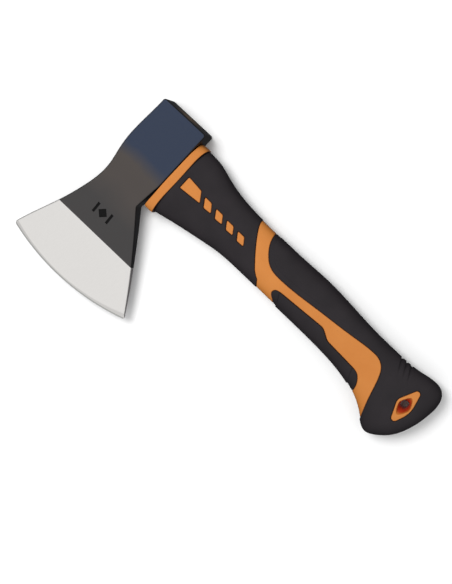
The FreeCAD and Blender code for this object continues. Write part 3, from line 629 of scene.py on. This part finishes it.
def lanyard_funnel(skin, outer):
    """The lanyard hole's wall, from its mouth in the jacket's outer points down to the mid-plane.

    Returns the wall's points, the depth of each one, and faces that count the wall's points on from the
    outer ones.
    """
    border = skin.border()
    mouth = border[(abs(skin.data["outside"][border]) < SNAP).all(axis=1)]
    row, rim = np.unique(mouth, return_inverse=True)
    rim = rim.reshape(-1, 2)
    lip = outer[row]
    points, depths, faces = [], [], []
    for share, depth in FUNNEL + [(1.0, None)]:
        z = np.zeros(len(lip)) if depth is None else lip[:, 2] - depth
        first = len(outer) + len(lip) * len(points)
        deeper = np.arange(first, first + len(lip))
        faces += [
            np.stack([row[rim[:, 1]], row[rim[:, 0]], deeper[rim[:, 0]]], 1),
            np.stack([row[rim[:, 1]], deeper[rim[:, 0]], deeper[rim[:, 1]]], 1),
        ]
        points.append(np.column_stack([narrowed(lip[:, :2], share), z]))
        depths.append(lip[:, 2] - z)
        row = deeper
    return np.concatenate(points), np.concatenate(depths), np.concatenate(faces)


def make_jacket(base, material):
    """Plastic jacket: bare between the rubbers, pocketed under them, open at the lanyard hole.

    The half above the mid-plane is drawn and then mirrored, so that the two halves meet point for point.
    """
    skin = jacket_skin(base)
    levels, heights = zip(*BORDER_PROFILE)
    outer = skin.raised(np.interp(skin.data["rubber"], levels, heights))
    wall, depths, wall_faces = lanyard_funnel(skin, outer)
    # Painted shade: the plastic darkens in the fine groove beside each rubber.
    seam = np.append(smooth_step(skin.data["rubber"], *CREASE_SHADE_EDGE), np.zeros(len(wall)))
    # Painted shade: the funnel's walls turn deep red with depth, for the orange bounce light inside the hole.
    throat = np.append(np.zeros(len(outer)), smooth_step(depths, *THROAT_SHADE_DEPTHS))
    points, faces = mirrored(np.concatenate([outer, wall]), np.concatenate([skin.faces, wall_faces]))
    add_piece(
        "jacket_grip", points, faces, material, "orange_plastic", ["handle_jacket"],
        seam=np.tile(seam, 2), throat=np.tile(throat, 2))


def loft_rings(rings):
    """Closed band through rings of equal count; the last ring joins the first."""
    rings = np.array(rings)
    rows, columns = rings.shape[:2]
    index = np.arange(rows * columns).reshape(rows, columns)
    after = np.roll(index, -1, axis=0)
    faces = np.stack([index, np.roll(index, -1, 1), np.roll(after, -1, 1), after], 2)
    return rings.reshape(-1, 3), faces.reshape(-1, 4)


def make_collar(material):
    """Crowned band against the head, with rolled edges."""
    middle = (COLLAR_BACK_Y + COLLAR_FRONT_Y) / 2
    half_height = (COLLAR_BACK_Y - COLLAR_FRONT_Y) / 2
    head_side, butt_side = smooth_curve(COLLAR_HEAD_SIDE), smooth_curve(COLLAR_BUTT_SIDE)
    crown = [(share, COLLAR_CROWN * (2 * share - 1) ** 2) for share in COLLAR_CROWN_SHARES]
    rolled = COLLAR_EDGE + crown + [(1 - share, drop) for share, drop in COLLAR_EDGE[::-1]]
    rings = []
    for share, drop in rolled:
        ring = even_superellipse(
            half_height - drop, COLLAR_HALF_THICKNESS - drop, COLLAR_POWER, COLLAR_POINTS)
        y = ring[:, 0] + middle
        head_x = np.interp(-y, -head_side[:, 1], head_side[:, 0])
        butt_x = np.interp(-y, -butt_side[:, 1], butt_side[:, 0])
        rings.append(np.column_stack([head_x + (butt_x - head_x) * share, y, ring[:, 1]]))
    points, faces = loft_rings(rings)
    # Painted shade darkens the band's rolled edges where they turn in against the head and the sleeve.
    seam = np.repeat([smooth_step(drop, *COLLAR_SHADE_DROP) for _, drop in rolled], len(rings[0]))
    add_piece("jacket_collar", points, faces, material, "orange_plastic", ["handle_jacket"], seam=seam)


def make_tenon(material):
    """The jacket's tenon inside the eye, an obround bar with an eased end."""
    angle = np.linspace(0, 2 * math.pi, TENON_POINTS, endpoint=False)
    flat = TENON_HALF_HEIGHT - TENON_HALF_THICKNESS
    section_y = np.cos(angle) * TENON_HALF_THICKNESS + np.sign(np.cos(angle)) * flat
    section_z = TENON_HALF_THICKNESS * np.sin(angle)
    rings = []
    for x, share in TENON_PROFILE:
        rings.append(np.column_stack([
            np.full(TENON_POINTS, x), EYE_CENTRE_Y + share * section_y, share * section_z,
        ]))
    points, faces = loft_rings(rings)
    add_piece("jacket_tenon", points, faces, material, "orange_plastic", ["handle_jacket"])


# ---------------------------------------------------------------- materials

RUBBER_TONES = (0.013, 0.0105, 0.0125, 1), (0.018, 0.0145, 0.0170, 1)
PLASTIC_TONES = (0.51, 0.172, 0.028, 1), (0.55, 0.198, 0.038, 1)
# Painted shade: deep red for the bounce light down the lanyard hole's walls.
THROAT_PAINTED_SHADE = (0.42, 0.035, 0.010, 1)
# Painted shade in the fine grooves beside the rubbers and at the collar's rolled edges.
CREASE_PAINTED_SHADE = (0.045, 0.012, 0.008, 1)
STEEL_TONES = (0.90, 0.88, 0.855, 1), (0.94, 0.92, 0.895, 1)
HONED_TONE = (0.61, 0.61, 0.59, 1)
# Painted reflections over the head's black paint, on its flat faces: grey sheen on the blade, warm brown in
# the hollow, cool blue on the cheek. The narrow sides keep the paint's own black.
BLADE_PAINTED_SHEEN = (0.029, 0.0265, 0.0265, 1)
HOLLOW_PAINTED_REFLECTION = (0.047, 0.038, 0.034, 1)
CHEEK_PAINTED_REFLECTION = (0.010, 0.020, 0.047, 1)
SIDE_PAINT = (0.003, 0.003, 0.003, 1)
HAMMER_FACE_BROWN = (0.17, 0.10, 0.045, 1)
RECESS_TONE = (0.002, 0.002, 0.002, 1)
FIBREGLASS_TONES = (0.60, 0.52, 0.28, 1), (0.78, 0.73, 0.50, 1)
EPOXY_TONES = (0.035, 0.026, 0.018, 1), (0.075, 0.055, 0.035, 1)
RUBBER_ROUGHNESS = (0.5, 0.68)
PLASTIC_ROUGHNESS = (0.34, 0.46)
PAINT_ROUGHNESS = (0.34, 0.42)
STEEL_ROUGHNESS = (0.38, 0.44)


def new_material(name, settings):
    material = bpy.data.materials.new(name)
    material.use_nodes = True
    shader = material.node_tree.nodes["Principled BSDF"]
    for socket, value in settings.items():
        shader.inputs[socket].default_value = value
    return material, material.node_tree, shader


def add_noise(tree, features_per_mm, detail=2.0, stretch=(1.0, 1.0, 1.0)):
    """Noise fixed to the object; stretch above 1 makes the grain finer along that axis."""
    nodes, links = tree.nodes, tree.links
    place = nodes.new("ShaderNodeTexCoord")
    mapping = nodes.new("ShaderNodeMapping")
    mapping.inputs["Scale"].default_value = stretch
    noise = nodes.new("ShaderNodeTexNoise")
    noise.inputs["Scale"].default_value = features_per_mm / MM
    noise.inputs["Detail"].default_value = detail
    links.new(place.outputs["Object"], mapping.inputs["Vector"])
    links.new(mapping.outputs["Vector"], noise.inputs["Vector"])
    return noise.outputs["Fac"]


def add_range(tree, value, low, high, from_low=0.3, from_high=0.7):
    """The value moved from one range to another, and held inside it; a noise runs from 0.3 to 0.7."""
    node = tree.nodes.new("ShaderNodeMapRange")
    node.inputs["From Min"].default_value = from_low
    node.inputs["From Max"].default_value = from_high
    node.inputs["To Min"].default_value = low
    node.inputs["To Max"].default_value = high
    tree.links.new(value, node.inputs["Value"])
    return node.outputs["Result"]


def add_bump(tree, height, depth_mm, strength):
    bump = tree.nodes.new("ShaderNodeBump")
    bump.inputs["Strength"].default_value = strength
    bump.inputs["Distance"].default_value = depth_mm * MM
    tree.links.new(height, bump.inputs["Height"])
    return bump.outputs["Normal"]


def add_mix(tree, share, first, second):
    """Colour mix; first and second are colours or sockets."""
    mix = tree.nodes.new("ShaderNodeMix")
    mix.data_type = "RGBA"
    inputs = {s.identifier: s for s in mix.inputs}
    for key, colour in (("A_Color", first), ("B_Color", second)):
        if isinstance(colour, tuple):
            inputs[key].default_value = colour
        else:
            tree.links.new(colour, inputs[key])
    tree.links.new(share, inputs["Factor_Float"])
    return next(s for s in mix.outputs if s.identifier == "Result_Color")


def rubber_material():
    material, tree, shader = new_material("moulded_rubber", {"IOR": 1.36})
    tint = add_range(tree, add_noise(tree, features_per_mm=0.06), 0.0, 1.0)
    colour = add_mix(tree, tint, *RUBBER_TONES)
    tree.links.new(colour, shader.inputs["Base Color"])
    grain = add_noise(tree, features_per_mm=3.2, detail=3.0)
    tree.links.new(add_range(tree, grain, *RUBBER_ROUGHNESS), shader.inputs["Roughness"])
    tree.links.new(add_bump(tree, grain, depth_mm=0.03, strength=0.5), shader.inputs["Normal"])
    return material


def plastic_material():
    material, tree, shader = new_material("orange_plastic", {"IOR": 1.43})
    tint = add_range(tree, add_noise(tree, features_per_mm=0.05, detail=3.0), 0.0, 1.0)
    colour = add_mix(tree, tint, *PLASTIC_TONES)
    # Painted shades: deep red down the lanyard hole for its bounce light, and dark in the grooves beside the
    # rubbers.
    for shade, dark in (("throat", THROAT_PAINTED_SHADE), ("seam", CREASE_PAINTED_SHADE)):
        share = tree.nodes.new("ShaderNodeAttribute")
        share.attribute_name = shade
        colour = add_mix(tree, share.outputs["Fac"], colour, dark)
    tree.links.new(colour, shader.inputs["Base Color"])
    grain = add_noise(tree, features_per_mm=2.2, detail=2.0)
    tree.links.new(add_range(tree, grain, *PLASTIC_ROUGHNESS), shader.inputs["Roughness"])
    tree.links.new(add_bump(tree, grain, depth_mm=0.015, strength=0.4), shader.inputs["Normal"])
    return material


def split_axes(tree, vector):
    """The X, Y and Z outputs of a vector."""
    split = tree.nodes.new("ShaderNodeSeparateXYZ")
    tree.links.new(vector, split.inputs["Vector"])
    return split.outputs


def step_at(tree, value, threshold, softness):
    """0 below the threshold and 1 above it."""
    return add_range(tree, value, 0.0, 1.0, threshold - softness, threshold + softness)


def add_math(tree, operation, first, second):
    """Arithmetic on sockets or numbers."""
    node = tree.nodes.new("ShaderNodeMath")
    node.operation = operation
    for socket, value in zip(node.inputs, (first, second)):
        if isinstance(value, bpy.types.NodeSocket):
            tree.links.new(value, socket)
        else:
            socket.default_value = float(value)
    return node.outputs["Value"]


def mark_recess(tree, axes):
    """1 in the stamped mark: near its centre, below the blade's taper and above the mid-plane."""
    slope = (NECK_HALF_THICKNESS - GRIND_HALF_THICKNESS) / (NECK_Y - GRIND_LINE_Y)
    level = LOCAL_ORIGIN[2] + (GRIND_HALF_THICKNESS - MARK_SHADE_DEPTH) * MM
    level -= slope * (LOCAL_ORIGIN[1] + GRIND_LINE_Y * MM)
    rise = add_math(tree, "MULTIPLY", axes["Y"], slope)
    inside = [
        add_math(tree, "LESS_THAN", axes["Z"], add_math(tree, "ADD", rise, level)),
        add_math(tree, "GREATER_THAN", axes["Z"], LOCAL_ORIGIN[2]),
    ]
    for axis, origin, centre in zip("XY", LOCAL_ORIGIN, MARK_CENTRE):
        offset = add_math(tree, "SUBTRACT", axes[axis], origin + centre * MM)
        inside.append(add_math(tree, "LESS_THAN", add_math(tree, "ABSOLUTE", offset, 0.0), MARK_REACH * MM))
    recess = inside[0]
    for other in inside[1:]:
        recess = add_math(tree, "MULTIPLY", recess, other)
    return recess


def brown_patch(tree, axes, facing):
    """1 in the uneven round brown patch in the middle of the hammer face."""
    squares = []
    for axis, centre in (("X", LOCAL_ORIGIN[0] + BROWN_PATCH_CENTRE_X * MM), ("Z", LOCAL_ORIGIN[2])):
        offset = add_math(tree, "SUBTRACT", axes[axis], centre)
        squares.append(add_math(tree, "MULTIPLY", offset, offset))
    reach = add_math(tree, "SQRT", add_math(tree, "ADD", *squares), 0.0)
    unevenness = add_noise(tree, features_per_mm=0.16, detail=3.0)
    ragged = add_range(tree, unevenness, -BROWN_PATCH_RAGGED * MM, BROWN_PATCH_RAGGED * MM)
    near_middle = add_range(
        tree, add_math(tree, "ADD", reach, ragged), 1.0, 0.0, BROWN_PATCH_REACH[0] * MM, BROWN_PATCH_REACH[1] * MM)
    on_hammer_face = step_at(tree, facing["Y"], *HAMMER_FACING)
    return add_math(tree, "MULTIPLY", on_hammer_face, near_middle)


def plan_distance(tree, axes, centre):
    """Distance in plan from a point given in local millimetres."""
    nodes, links = tree.nodes, tree.links
    in_plan = nodes.new("ShaderNodeCombineXYZ")
    links.new(axes["X"], in_plan.inputs["X"])
    links.new(axes["Y"], in_plan.inputs["Y"])
    distance = nodes.new("ShaderNodeVectorMath")
    distance.operation = "DISTANCE"
    distance.inputs[1].default_value = (
        LOCAL_ORIGIN[0] + centre[0] * MM, LOCAL_ORIGIN[1] + centre[1] * MM, 0.0)
    links.new(in_plan.outputs["Vector"], distance.inputs[0])
    return distance.outputs["Value"]


def steel_colour(tree, axes, streaks):
    """Streaked satin steel with a darker honed strip along the edge."""
    from_centre = plan_distance(tree, axes, EDGE_CENTRE)
    honed = step_at(tree, from_centre, (EDGE_RADIUS - HONED_WIDTH) * MM, HONED_BLEND * MM)
    steel = add_mix(tree, add_range(tree, streaks, 0.0, 1.0), *STEEL_TONES)
    return add_mix(tree, honed, steel, HONED_TONE)


def paint_and_painted_reflections(tree, axes, facing, recess):
    """Black paint, with painted reflections on flat faces: blue cheek, brown hollow, grey blade; black sides
    and mark.
    """
    cloud = add_noise(tree, features_per_mm=0.03, detail=3.0)
    drift = add_range(tree, cloud, -TONE_DRIFT * MM, TONE_DRIFT * MM)
    drifting = add_math(tree, "ADD", axes["Y"], drift)
    in_hollow, on_cheek = (
        step_at(tree, drifting, LOCAL_ORIGIN[1] + line_y * MM, blend * MM)
        for line_y, blend in (HOLLOW_LINE, CHEEK_LINE)
    )
    # Painted reflections on the flat faces: grey sheen on the blade, warm brown in the hollow, cool blue on
    # the cheek.
    low_painted_reflection = add_mix(tree, in_hollow, BLADE_PAINTED_SHEEN, HOLLOW_PAINTED_REFLECTION)
    flat_painted_reflection = add_mix(tree, on_cheek, low_painted_reflection, CHEEK_PAINTED_REFLECTION)
    side_paint = add_mix(tree, brown_patch(tree, axes, facing), SIDE_PAINT, HAMMER_FACE_BROWN)
    flat = add_range(tree, add_math(tree, "ABSOLUTE", facing["Z"], 0.0), 0.0, 1.0, *FLAT_FACING)
    return add_mix(tree, recess, add_mix(tree, flat, side_paint, flat_painted_reflection), RECESS_TONE)


def head_material():
    """Black paint down to the grind line and satin-ground steel below it."""
    material, tree, shader = new_material("painted_and_ground_steel", {"IOR": 1.5})
    nodes, links = tree.nodes, tree.links
    place = nodes.new("ShaderNodeTexCoord")
    axes = split_axes(tree, place.outputs["Object"])
    facing = split_axes(tree, place.outputs["Normal"])
    painted = step_at(tree, axes["Y"], LOCAL_ORIGIN[1] + GRIND_LINE_Y * MM, GRIND_BLEND * MM)
    streaks = add_noise(tree, features_per_mm=4.0, detail=3.0, stretch=(1.0, 0.04, 1.0))
    recess = mark_recess(tree, axes)
    steel = steel_colour(tree, axes, streaks)
    paint = paint_and_painted_reflections(tree, axes, facing, recess)
    links.new(add_mix(tree, painted, steel, paint), shader.inputs["Base Color"])
    links.new(add_range(tree, painted, 1.0, 0.0, 0.0, 1.0), shader.inputs["Metallic"])

    peel = add_noise(tree, features_per_mm=0.9, detail=2.0)
    paint_rough = add_math(tree, "MAXIMUM", add_range(tree, peel, *PAINT_ROUGHNESS), recess)
    rough = nodes.new("ShaderNodeMix")
    links.new(painted, rough.inputs["Factor"])
    links.new(add_range(tree, streaks, *STEEL_ROUGHNESS), rough.inputs["A"])
    links.new(paint_rough, rough.inputs["B"])
    links.new(rough.outputs["Result"], shader.inputs["Roughness"])
    links.new(add_bump(tree, peel, depth_mm=0.02, strength=0.35), shader.inputs["Normal"])
    return material


def fibreglass_material():
    material, tree, shader = new_material("pultruded_fibreglass", {"Roughness": 0.45})
    strands = add_noise(tree, features_per_mm=1.5, detail=4.0, stretch=(0.02, 1.0, 1.0))
    colour = add_mix(tree, add_range(tree, strands, 0, 1), *FIBREGLASS_TONES)
    tree.links.new(colour, shader.inputs["Base Color"])
    tree.links.new(add_bump(tree, strands, depth_mm=0.05, strength=0.5), shader.inputs["Normal"])
    return material


def epoxy_material():
    material, tree, shader = new_material("cast_epoxy", {"Roughness": 0.22, "IOR": 1.52})
    cloud = add_noise(tree, features_per_mm=0.25, detail=3.0)
    colour = add_mix(tree, add_range(tree, cloud, 0, 1), *EPOXY_TONES)
    tree.links.new(colour, shader.inputs["Base Color"])
    tree.links.new(add_bump(tree, cloud, depth_mm=0.15, strength=0.5), shader.inputs["Normal"])
    return material


def paint_node(node, material):
    """Puts one material on a CAD node that stays visible."""
    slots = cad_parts[node].material_slots
    if slots:
        for slot in slots:
            slot.material = material
    else:
        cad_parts[node].data.materials.append(material)


# ---------------------------------------------------------------- floor, light and camera, in metres

FLOOR_RADIUS = 0.85
FLOOR_GLOW = 0.6
FLOOR_GLOW_GROWS = (0.3, 0.75)  # distances from the middle between which the floor starts to give light
BACKDROP_RADIUS = 8.0
KEY_DIRECTION = (-0.5, 0.12, 1.1)
KEY_DISTANCE = 1.2
KEY_SIZE = 0.6
KEY_POWER = 9.0
SKY_BRIGHTENS = (-0.15, 0.75)   # heights between which the room's light grows, on a sphere of radius 1
SKY_TONES = (0.10, 0.10, 0.105, 1), (1, 1, 1, 1)
SKY_STRENGTH = 0.84
CAMERA_BACK = Vector((0.0843, 0.2086, 0.9744)).normalized()    # from the target towards the camera
CAMERA_ROLL = math.radians(43.5)
CAMERA_DISTANCE = 0.684
CAMERA_LENS = 63.2
CAMERA_TARGET = Vector((-0.0053, 0.0022, 0.01125))


def camera_axes():
    """Right, up and back of the camera: level with the handle, then rolled clockwise."""
    back = CAMERA_BACK
    level = (Vector((1, 0, 0)) - back * back.x).normalized()
    across = (-back).cross(level)
    right = level * math.cos(CAMERA_ROLL) - across * math.sin(CAMERA_ROLL)
    return right, back.cross(right), back


def add_camera():
    right, up, back = camera_axes()
    data = bpy.data.cameras.new("camera")
    data.lens = CAMERA_LENS
    data.clip_start = 0.05
    data.clip_end = 20.0
    camera = bpy.data.objects.new("camera", data)
    camera.matrix_world = Matrix((right, up, back)).transposed().to_4x4()
    camera.location = CAMERA_TARGET + back * CAMERA_DISTANCE
    bpy.context.scene.collection.objects.link(camera)
    bpy.context.scene.camera = camera


def floor_material():
    """White; it gives light of its own towards the rim, and so meets the backdrop without a line."""
    material, tree, shader = new_material("white_floor", {
        "Base Color": (0.93, 0.93, 0.93, 1), "Roughness": 0.9, "Specular IOR Level": 0.0,
        "Emission Color": (1, 1, 1, 1),
    })
    place = tree.nodes.new("ShaderNodeTexCoord")
    from_middle = tree.nodes.new("ShaderNodeVectorMath")
    from_middle.operation = "LENGTH"
    tree.links.new(place.outputs["Object"], from_middle.inputs[0])
    glow = add_range(tree, from_middle.outputs["Value"], 0.0, FLOOR_GLOW, *FLOOR_GLOW_GROWS)
    tree.links.new(glow, shader.inputs["Emission Strength"])
    return material


def add_floor():
    """Pale disc that is not seen in the axe's own reflections, so that its narrow sides stay dark."""
    tile = bmesh.new()
    bmesh.ops.create_circle(tile, cap_ends=True, segments=96, radius=FLOOR_RADIUS)
    mesh = bpy.data.meshes.new("floor")
    tile.to_mesh(mesh)
    tile.free()
    mesh.materials.append(floor_material())
    floor = bpy.data.objects.new("floor", mesh)
    floor.visible_glossy = False
    floor.visible_diffuse = False
    floor.location.z = cad_low.z
    bpy.context.scene.collection.objects.link(floor)


def add_backdrop():
    """White dome far behind everything; it gives no light and is only there to be looked at."""
    dome = bmesh.new()
    bmesh.ops.create_uvsphere(dome, u_segments=48, v_segments=24, radius=BACKDROP_RADIUS)
    mesh = bpy.data.meshes.new("backdrop")
    dome.to_mesh(mesh)
    dome.free()
    material, _, _ = new_material("white_backdrop", {
        "Base Color": (0, 0, 0, 1), "Specular IOR Level": 0.0,
        "Emission Color": (1, 1, 1, 1), "Emission Strength": 1.0,
    })
    mesh.materials.append(material)
    backdrop = bpy.data.objects.new("backdrop", mesh)
    for ray in ("diffuse", "glossy", "transmission", "shadow", "volume_scatter"):
        setattr(backdrop, f"visible_{ray}", False)
    bpy.context.scene.collection.objects.link(backdrop)


def add_key_light():
    """Softbox high up on the left; it is kept out of reflections, so that no view burns out the steel."""
    data = bpy.data.lights.new("key", "AREA")
    data.shape = "DISK"
    data.size = KEY_SIZE
    data.energy = KEY_POWER
    light = bpy.data.objects.new("key", data)
    towards = Vector(KEY_DIRECTION).normalized()
    light.location = CAMERA_TARGET + towards * KEY_DISTANCE
    light.visible_glossy = False
    light.rotation_mode = "QUATERNION"
    light.rotation_quaternion = towards.to_track_quat("Z", "Y")
    bpy.context.scene.collection.objects.link(light)


def add_room():
    """Soft light from above that fades to a dark room below the horizon."""
    world = bpy.data.worlds.new("studio")
    world.use_nodes = True
    tree = world.node_tree
    background = tree.nodes["Background"]
    place = tree.nodes.new("ShaderNodeTexCoord")
    axes = split_axes(tree, place.outputs["Generated"])
    height = add_range(tree, axes["Z"], 0.0, 1.0, *SKY_BRIGHTENS)
    tree.links.new(add_mix(tree, height, *SKY_TONES), background.inputs["Color"])
    background.inputs["Strength"].default_value = SKY_STRENGTH
    bpy.context.scene.world = world


# ---------------------------------------------------------------- build

base_skin = handle_skin()
rubber = rubber_material()
plastic = plastic_material()
make_jacket(base_skin, plastic)
make_collar(plastic)
make_tenon(plastic)
make_sleeve(base_skin, rubber)
make_rear_grip(base_skin, rubber)
make_front_grip(base_skin, rubber)
paint_node("axe_head", head_material())
paint_node("fibreglass_core", fibreglass_material())
paint_node("eye_resin", epoxy_material())
paint_node("eye_seal", rubber)
add_floor()
add_backdrop()
add_room()
add_key_light()
add_camera()
bpy.context.scene.view_settings.view_transform = "Standard"
